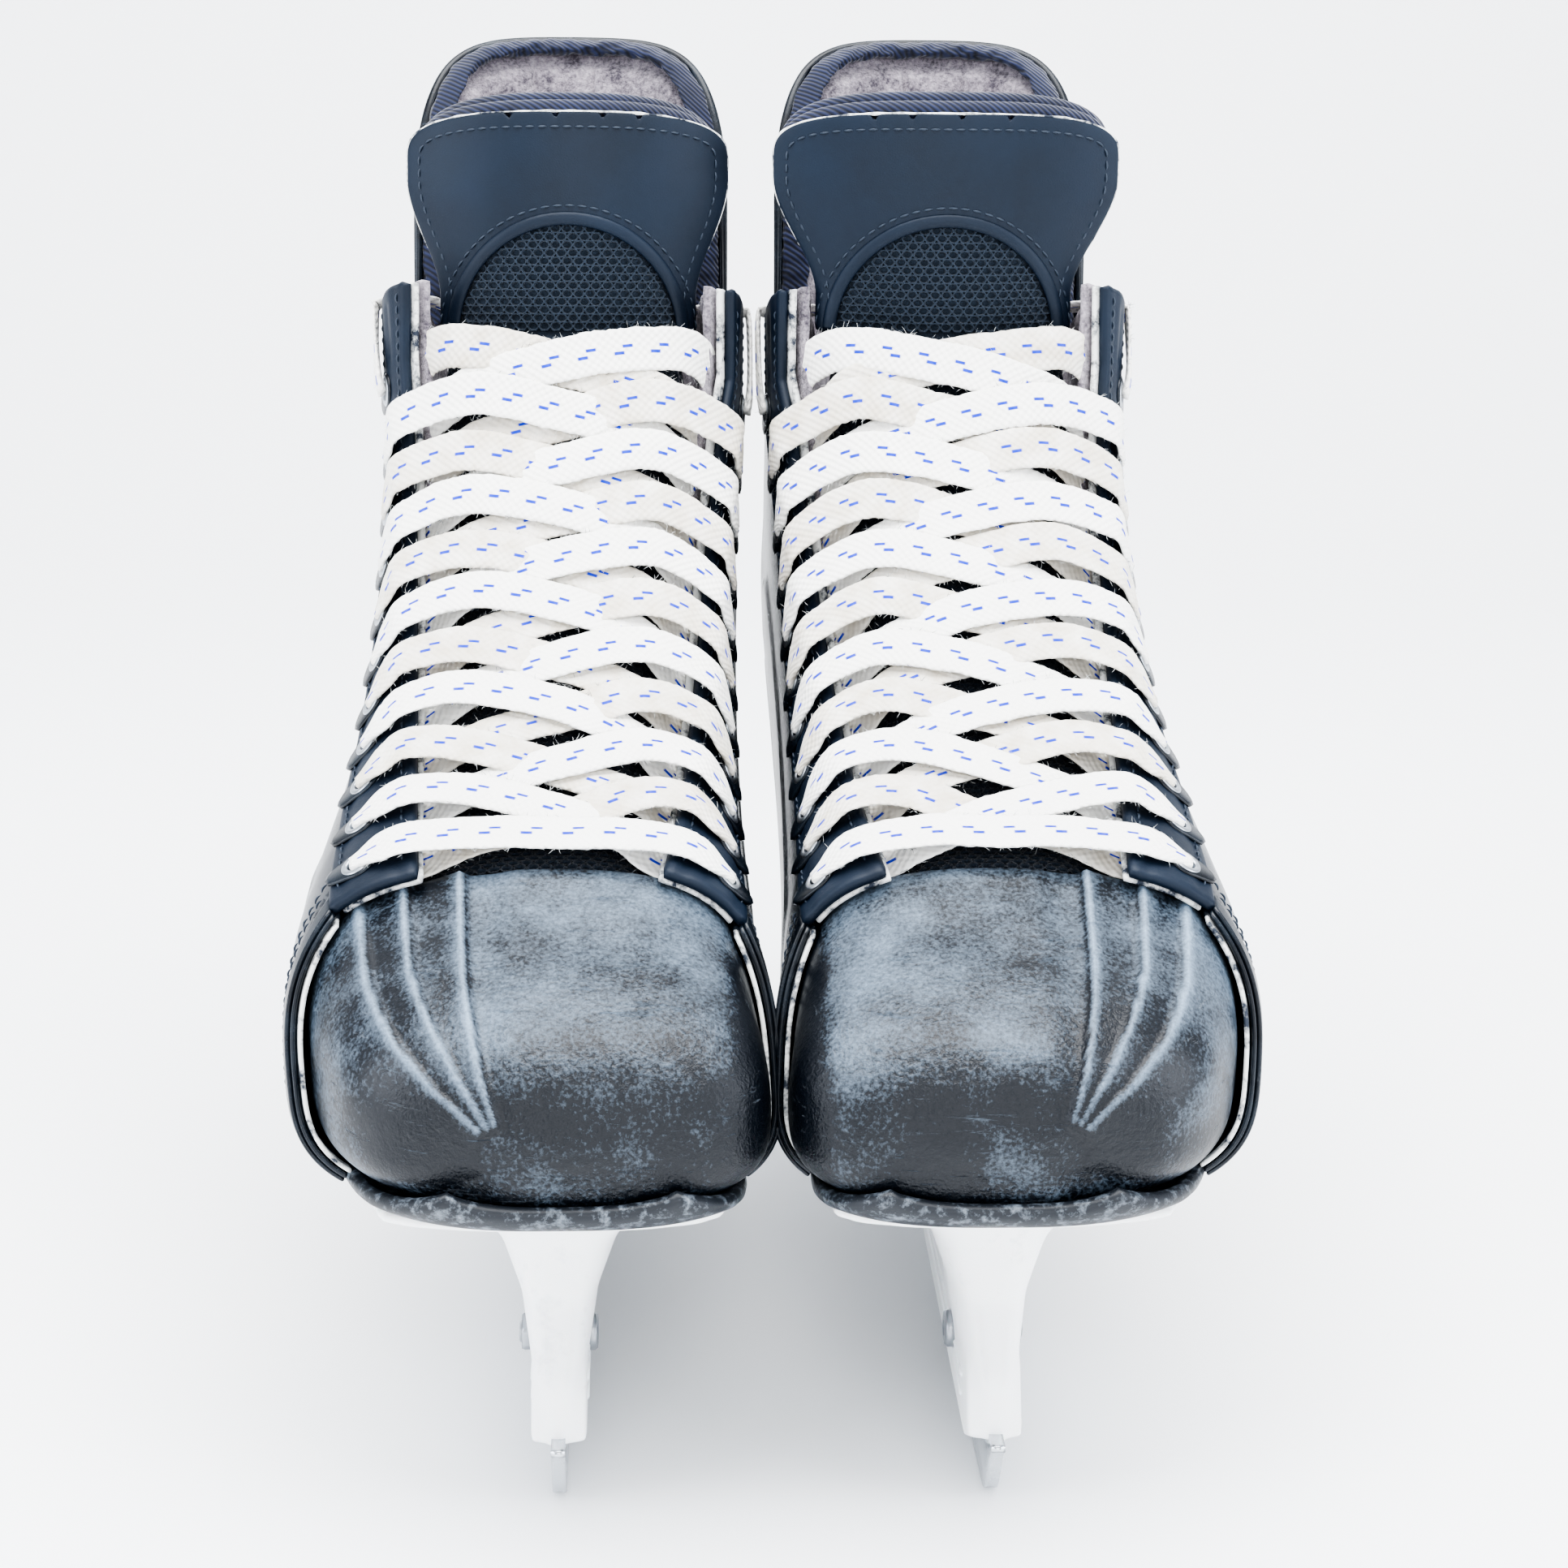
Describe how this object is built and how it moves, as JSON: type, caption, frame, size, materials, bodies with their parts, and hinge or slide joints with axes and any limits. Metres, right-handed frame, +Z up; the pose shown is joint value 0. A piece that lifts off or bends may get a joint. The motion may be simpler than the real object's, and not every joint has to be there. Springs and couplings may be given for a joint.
{
  "type": "hockey skates",
  "caption": "Pair of laced ice hockey skates with moulded toe caps, padded tongues, tendon guards, white blade holders and steel runners.",
  "frame": {"origin": "on the ice, under the middle of the pair's length and width", "axes": "+Z up; the toes point to -Y; the right foot's skate is at -X and the left foot's at +X"},
  "size_m": [0.2158, 0.2878, 0.296],
  "materials": {
    "cap_plastic": "moulded, pebbled, heavily scuffed",
    "quarter_laminate": "smooth coated laminate",
    "synthetic_leather": "fine-grained coated leathercloth",
    "felt": "brushed terry felt, grey",
    "mesh_fabric": "open spacer mesh",
    "binding_twill": "folded twill tape",
    "composite": "pressed composite",
    "board": "pressed fibre board",
    "foam": "moulded EVA foam",
    "white_nylon": "satin moulded nylon",
    "stainless_steel": "ground and polished",
    "zinc_steel": "zinc plated",
    "lace_weave": "flat woven polyester with a blue tracer"
  },
  "bodies": {
    "boots_and_blades": {"right_toe_cap": "cap_plastic", "right_toe_liner": "felt", "right_outer_quarter": "quarter_laminate", "right_inner_quarter": "quarter_laminate", "right_outer_eyestay": "synthetic_leather", "right_inner_eyestay": "synthetic_leather", "right_outer_ankle_pad": "felt", "right_inner_ankle_pad": "felt", "right_heel_pad": "felt", "right_backstay": "quarter_laminate", "right_outsole": "composite", "right_insole_board": "board", "right_footbed": "foam", "right_tongue_pad": "felt", "right_tongue_face": "mesh_fabric", "right_blade_holder": "white_nylon", "right_runner": "stainless_steel", "right_front_runner_bolt": "zinc_steel", "right_front_runner_nut": "zinc_steel", "right_rear_runner_bolt": "zinc_steel", "right_rear_runner_nut": "zinc_steel", "right_lace": "lace_weave", "left_toe_cap": "cap_plastic", "left_toe_liner": "felt", "left_outer_quarter": "quarter_laminate", "left_inner_quarter": "quarter_laminate", "left_outer_eyestay": "synthetic_leather", "left_inner_eyestay": "synthetic_leather", "left_outer_ankle_pad": "felt", "left_inner_ankle_pad": "felt", "left_heel_pad": "felt", "left_backstay": "quarter_laminate", "left_outsole": "composite", "left_insole_board": "board", "left_footbed": "foam", "left_tongue_pad": "felt", "left_tongue_face": "mesh_fabric", "left_blade_holder": "white_nylon", "left_runner": "stainless_steel", "left_front_runner_bolt": "zinc_steel", "left_front_runner_nut": "zinc_steel", "left_rear_runner_bolt": "zinc_steel", "left_rear_runner_nut": "zinc_steel", "left_lace": "lace_weave"},
    "right_tongue_flap": {"right_tongue_flap_pad": "felt", "right_tongue_flap_face": "synthetic_leather", "right_tongue_flap_mesh": "mesh_fabric", "right_tongue_flap_binding": "binding_twill"},
    "right_tendon_guard_body": {"right_tendon_guard": "quarter_laminate", "right_tendon_guard_pad": "felt"},
    "left_tongue_flap": {"left_tongue_flap_pad": "felt", "left_tongue_flap_face": "synthetic_leather", "left_tongue_flap_mesh": "mesh_fabric", "left_tongue_flap_binding": "binding_twill"},
    "left_tendon_guard_body": {"left_tendon_guard": "quarter_laminate", "left_tendon_guard_pad": "felt"}
  },
  "joints": [
    {"name": "right_tongue_flex", "type": "hinge", "parent": "boots_and_blades", "child": "right_tongue_flap", "pos_m": [-0.0475, 0.0513, 0.2285], "axis": [1, 0, 0], "range_deg": [-6, 60]},
    {"name": "right_tendon_guard_flex", "type": "hinge", "parent": "boots_and_blades", "child": "right_tendon_guard_body", "pos_m": [-0.0475, 0.1279, 0.2049], "axis": [-1, 0, 0], "range_deg": [0, 22], "stiffness_Nm_per_rad": 1.5},
    {"name": "left_tongue_flex", "type": "hinge", "parent": "boots_and_blades", "child": "left_tongue_flap", "pos_m": [0.0475, 0.0513, 0.2285], "axis": [1, 0, 0], "range_deg": [-8, 53]},
    {"name": "left_tendon_guard_flex", "type": "hinge", "parent": "boots_and_blades", "child": "left_tendon_guard_body", "pos_m": [0.0475, 0.1279, 0.2049], "axis": [-1, 0, 0], "range_deg": [0, 22], "stiffness_Nm_per_rad": 1.5}
  ]
}
